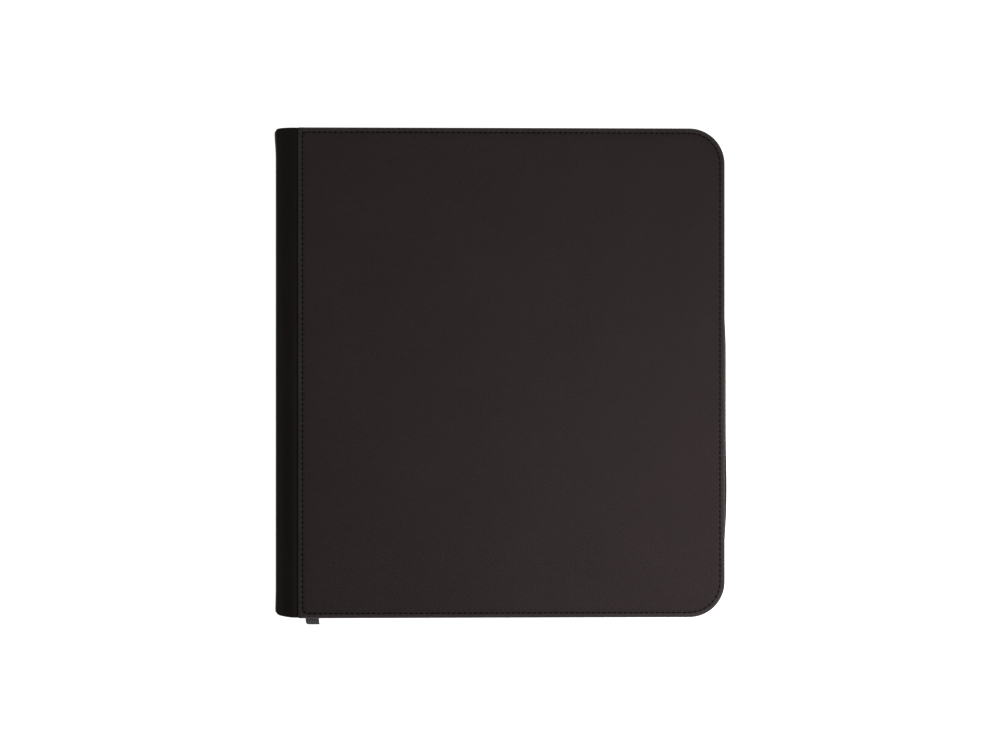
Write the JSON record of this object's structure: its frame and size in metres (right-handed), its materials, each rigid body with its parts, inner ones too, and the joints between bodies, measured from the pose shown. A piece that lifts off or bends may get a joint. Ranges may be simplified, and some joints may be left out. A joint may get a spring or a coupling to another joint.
{
  "type": "trading card binder",
  "caption": "Zip-around card album: two padded covers hinged on a stiff spine, with pocket pages turning on a binding rod and a zip with slider and pull.",
  "frame": {"origin": "middle of the back cover's outer face, which the binder lies on", "axes": "+Z out of the front cover, +Y up the binder's height, -X towards the spine"},
  "size_m": [0.335, 0.3703, 0.038],
  "materials": {
    "textured_cover": "fine embossed weave on soft coated leatherette",
    "spine_cover": "smooth matt leatherette",
    "cover_thread": "waxed polyester thread",
    "foam": "closed-cell foam",
    "board": "grey-brown binder's board",
    "lining_cloth": "plain woven lining",
    "zip_tape": "herringbone polyester tape",
    "zip_coil": "nylon coil",
    "zip_metal": "dark nickel plate",
    "tab_webbing": "ribbed woven webbing",
    "pull_grip": "moulded soft grip",
    "binding_plastic": "extruded",
    "pocket_page": "clear pocket film welded on a matt black sheet"
  },
  "bodies": {
    "back_cover": {"back_panel": "textured_cover", "back_panel_thread": "cover_thread", "back_padding": "foam", "back_board": "board", "back_lining": "lining_cloth", "back_hinge_strip": "spine_cover", "back_zip_tape": "zip_tape", "back_zip_coil": "zip_coil", "back_zip_stop": "zip_metal", "zip_tail_tab": "tab_webbing", "zip_end_patch": "zip_tape", "page_binding_strip": "binding_plastic", "page_binding_bar": "binding_plastic"},
    "spine": {"spine_board": "board", "spine_skin": "spine_cover", "spine_lining": "lining_cloth"},
    "front_cover": {"front_panel": "textured_cover", "front_panel_thread": "cover_thread", "front_padding": "foam", "front_board": "board", "front_lining": "lining_cloth", "front_hinge_strip": "spine_cover", "front_zip_tape": "zip_tape", "front_zip_coil": "zip_coil", "front_zip_stop": "zip_metal"},
    "slider": {"slider": "zip_metal"},
    "pull": {"pull_frame": "zip_metal", "pull_grip": "pull_grip"},
    "page_01": {"page_01": "pocket_page"},
    "page_02": {"page_02": "pocket_page"},
    "page_03": {"page_03": "pocket_page"},
    "page_04": {"page_04": "pocket_page"},
    "page_05": {"page_05": "pocket_page"},
    "page_06": {"page_06": "pocket_page"},
    "page_07": {"page_07": "pocket_page"},
    "page_08": {"page_08": "pocket_page"},
    "page_09": {"page_09": "pocket_page"},
    "page_10": {"page_10": "pocket_page"},
    "page_11": {"page_11": "pocket_page"},
    "page_12": {"page_12": "pocket_page"},
    "page_13": {"page_13": "pocket_page"},
    "page_14": {"page_14": "pocket_page"},
    "page_15": {"page_15": "pocket_page"},
    "page_16": {"page_16": "pocket_page"},
    "page_17": {"page_17": "pocket_page"},
    "page_18": {"page_18": "pocket_page"},
    "page_19": {"page_19": "pocket_page"},
    "page_20": {"page_20": "pocket_page"}
  },
  "joints": [
    {"name": "spine_crease", "type": "hinge", "parent": "back_cover", "child": "spine", "pos_m": [-0.1655, 0, 0.002], "axis": [0, -1, 0], "range_deg": [0, 90]},
    {"name": "front_crease", "type": "hinge", "parent": "spine", "child": "front_cover", "pos_m": [-0.1655, 0, 0.036], "axis": [0, -1, 0], "range_deg": [0, 90]},
    {"name": "slider_travel", "type": "slide", "parent": "back_cover", "child": "slider", "axis": [1, 0, 0], "range_m": [0, 0.262]},
    {"name": "pull_swing", "type": "hinge", "parent": "slider", "child": "pull", "pos_m": [-0.128, -0.18065, 0.019], "axis": [0, 0, -1], "range_deg": [0, 120]},
    {"name": "page_01_turn", "type": "hinge", "parent": "back_cover", "child": "page_01", "pos_m": [-0.15, 0, 0.019], "axis": [0, -1, 0], "range_deg": [0, 0.4]},
    {"name": "page_02_turn", "type": "hinge", "parent": "back_cover", "child": "page_02", "pos_m": [-0.15, 0, 0.019], "axis": [0, -1, 0], "range_deg": [0, 0.75]},
    {"name": "page_03_turn", "type": "hinge", "parent": "back_cover", "child": "page_03", "pos_m": [-0.15, 0, 0.019], "axis": [0, -1, 0], "range_deg": [0, 1.1]},
    {"name": "page_04_turn", "type": "hinge", "parent": "back_cover", "child": "page_04", "pos_m": [-0.15, 0, 0.019], "axis": [0, -1, 0], "range_deg": [0, 1.45]},
    {"name": "page_05_turn", "type": "hinge", "parent": "back_cover", "child": "page_05", "pos_m": [-0.15, 0, 0.019], "axis": [0, -1, 0], "range_deg": [0, 1.8]},
    {"name": "page_06_turn", "type": "hinge", "parent": "back_cover", "child": "page_06", "pos_m": [-0.15, 0, 0.019], "axis": [0, -1, 0], "range_deg": [0, 2.15]},
    {"name": "page_07_turn", "type": "hinge", "parent": "back_cover", "child": "page_07", "pos_m": [-0.15, 0, 0.019], "axis": [0, -1, 0], "range_deg": [0, 2.5]},
    {"name": "page_08_turn", "type": "hinge", "parent": "back_cover", "child": "page_08", "pos_m": [-0.15, 0, 0.019], "axis": [0, -1, 0], "range_deg": [0, 2.85]},
    {"name": "page_09_turn", "type": "hinge", "parent": "back_cover", "child": "page_09", "pos_m": [-0.15, 0, 0.019], "axis": [0, -1, 0], "range_deg": [0, 3.2]},
    {"name": "page_10_turn", "type": "hinge", "parent": "back_cover", "child": "page_10", "pos_m": [-0.15, 0, 0.019], "axis": [0, -1, 0], "range_deg": [0, 3.55]},
    {"name": "page_11_turn", "type": "hinge", "parent": "back_cover", "child": "page_11", "pos_m": [-0.15, 0, 0.019], "axis": [0, -1, 0], "range_deg": [0, 173.4]},
    {"name": "page_12_turn", "type": "hinge", "parent": "back_cover", "child": "page_12", "pos_m": [-0.15, 0, 0.019], "axis": [0, -1, 0], "range_deg": [0, 173.75]},
    {"name": "page_13_turn", "type": "hinge", "parent": "back_cover", "child": "page_13", "pos_m": [-0.15, 0, 0.019], "axis": [0, -1, 0], "range_deg": [0, 174.1]},
    {"name": "page_14_turn", "type": "hinge", "parent": "back_cover", "child": "page_14", "pos_m": [-0.15, 0, 0.019], "axis": [0, -1, 0], "range_deg": [0, 174.45]},
    {"name": "page_15_turn", "type": "hinge", "parent": "back_cover", "child": "page_15", "pos_m": [-0.15, 0, 0.019], "axis": [0, -1, 0], "range_deg": [0, 174.8]},
    {"name": "page_16_turn", "type": "hinge", "parent": "back_cover", "child": "page_16", "pos_m": [-0.15, 0, 0.019], "axis": [0, -1, 0], "range_deg": [0, 175.15]},
    {"name": "page_17_turn", "type": "hinge", "parent": "back_cover", "child": "page_17", "pos_m": [-0.15, 0, 0.019], "axis": [0, -1, 0], "range_deg": [0, 175.5]},
    {"name": "page_18_turn", "type": "hinge", "parent": "back_cover", "child": "page_18", "pos_m": [-0.15, 0, 0.019], "axis": [0, -1, 0], "range_deg": [0, 175.85]},
    {"name": "page_19_turn", "type": "hinge", "parent": "back_cover", "child": "page_19", "pos_m": [-0.15, 0, 0.019], "axis": [0, -1, 0], "range_deg": [0, 176.2]},
    {"name": "page_20_turn", "type": "hinge", "parent": "back_cover", "child": "page_20", "pos_m": [-0.15, 0, 0.019], "axis": [0, -1, 0], "range_deg": [0, 176.55]}
  ],
  "couplings": [
    {"joint": "front_crease", "follows": "spine_crease", "ratio": 1},
    {"joint": "page_01_turn", "follows": "spine_crease", "ratio": 0.003889},
    {"joint": "page_02_turn", "follows": "spine_crease", "ratio": 0.007778},
    {"joint": "page_03_turn", "follows": "spine_crease", "ratio": 0.011667},
    {"joint": "page_04_turn", "follows": "spine_crease", "ratio": 0.015556},
    {"joint": "page_05_turn", "follows": "spine_crease", "ratio": 0.019444},
    {"joint": "page_06_turn", "follows": "spine_crease", "ratio": 0.023333},
    {"joint": "page_07_turn", "follows": "spine_crease", "ratio": 0.027222},
    {"joint": "page_08_turn", "follows": "spine_crease", "ratio": 0.031111},
    {"joint": "page_09_turn", "follows": "spine_crease", "ratio": 0.035},
    {"joint": "page_10_turn", "follows": "spine_crease", "ratio": 0.038889},
    {"joint": "page_11_turn", "follows": "spine_crease", "ratio": 1.9261},
    {"joint": "page_12_turn", "follows": "spine_crease", "ratio": 1.93},
    {"joint": "page_13_turn", "follows": "spine_crease", "ratio": 1.9339},
    {"joint": "page_14_turn", "follows": "spine_crease", "ratio": 1.9378},
    {"joint": "page_15_turn", "follows": "spine_crease", "ratio": 1.9417},
    {"joint": "page_16_turn", "follows": "spine_crease", "ratio": 1.9456},
    {"joint": "page_17_turn", "follows": "spine_crease", "ratio": 1.9494},
    {"joint": "page_18_turn", "follows": "spine_crease", "ratio": 1.9533},
    {"joint": "page_19_turn", "follows": "spine_crease", "ratio": 1.9572},
    {"joint": "page_20_turn", "follows": "spine_crease", "ratio": 1.9611}
  ]
}
